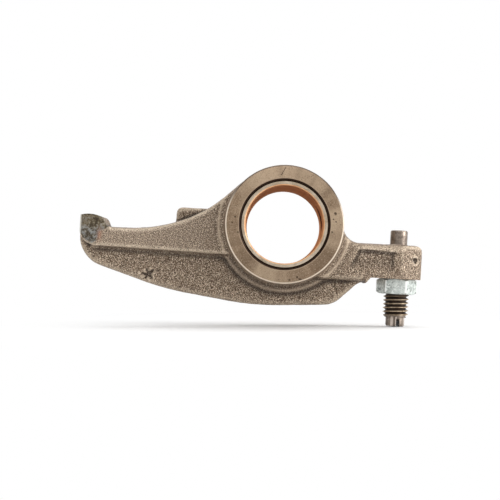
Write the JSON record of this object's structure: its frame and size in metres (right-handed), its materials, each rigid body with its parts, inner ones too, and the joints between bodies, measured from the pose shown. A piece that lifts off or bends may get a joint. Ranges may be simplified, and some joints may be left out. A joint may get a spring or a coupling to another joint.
{
  "type": "rocker arm",
  "caption": "Cast engine rocker arm with a bushed shaft bore, a curved valve pad on a ribbed arm, and an adjusting screw with lock nut on the short arm.",
  "frame": {"origin": "middle of the shaft bore, halfway between the two hub faces", "axes": "+X from the bore towards the adjusting screw, +Y along the bore away from the front face, +Z the way the valve pad faces"},
  "size_m": [0.1355, 0.038, 0.0611],
  "materials": {
    "casting": "as cast and shot-blasted, brownish grey, with turned hub faces and a ground pad",
    "bush": "bored bronze, copper-coloured",
    "screw": "dark phosphated steel, ground plain end",
    "nut": "pale zinc plating, stained"
  },
  "bodies": {
    "arm": {"arm_casting": "casting", "bush": "bush"},
    "screw": {"adjusting_screw": "screw"},
    "nut": {"lock_nut": "nut"}
  },
  "joints": [
    {"name": "screw_travel", "type": "slide", "parent": "arm", "child": "screw", "axis": [0, 0, 1], "range_m": [-0.003, 0.003]},
    {"name": "nut_travel", "type": "slide", "parent": "arm", "child": "nut", "axis": [0, 0, -1], "range_m": [0, 0.006]}
  ]
}
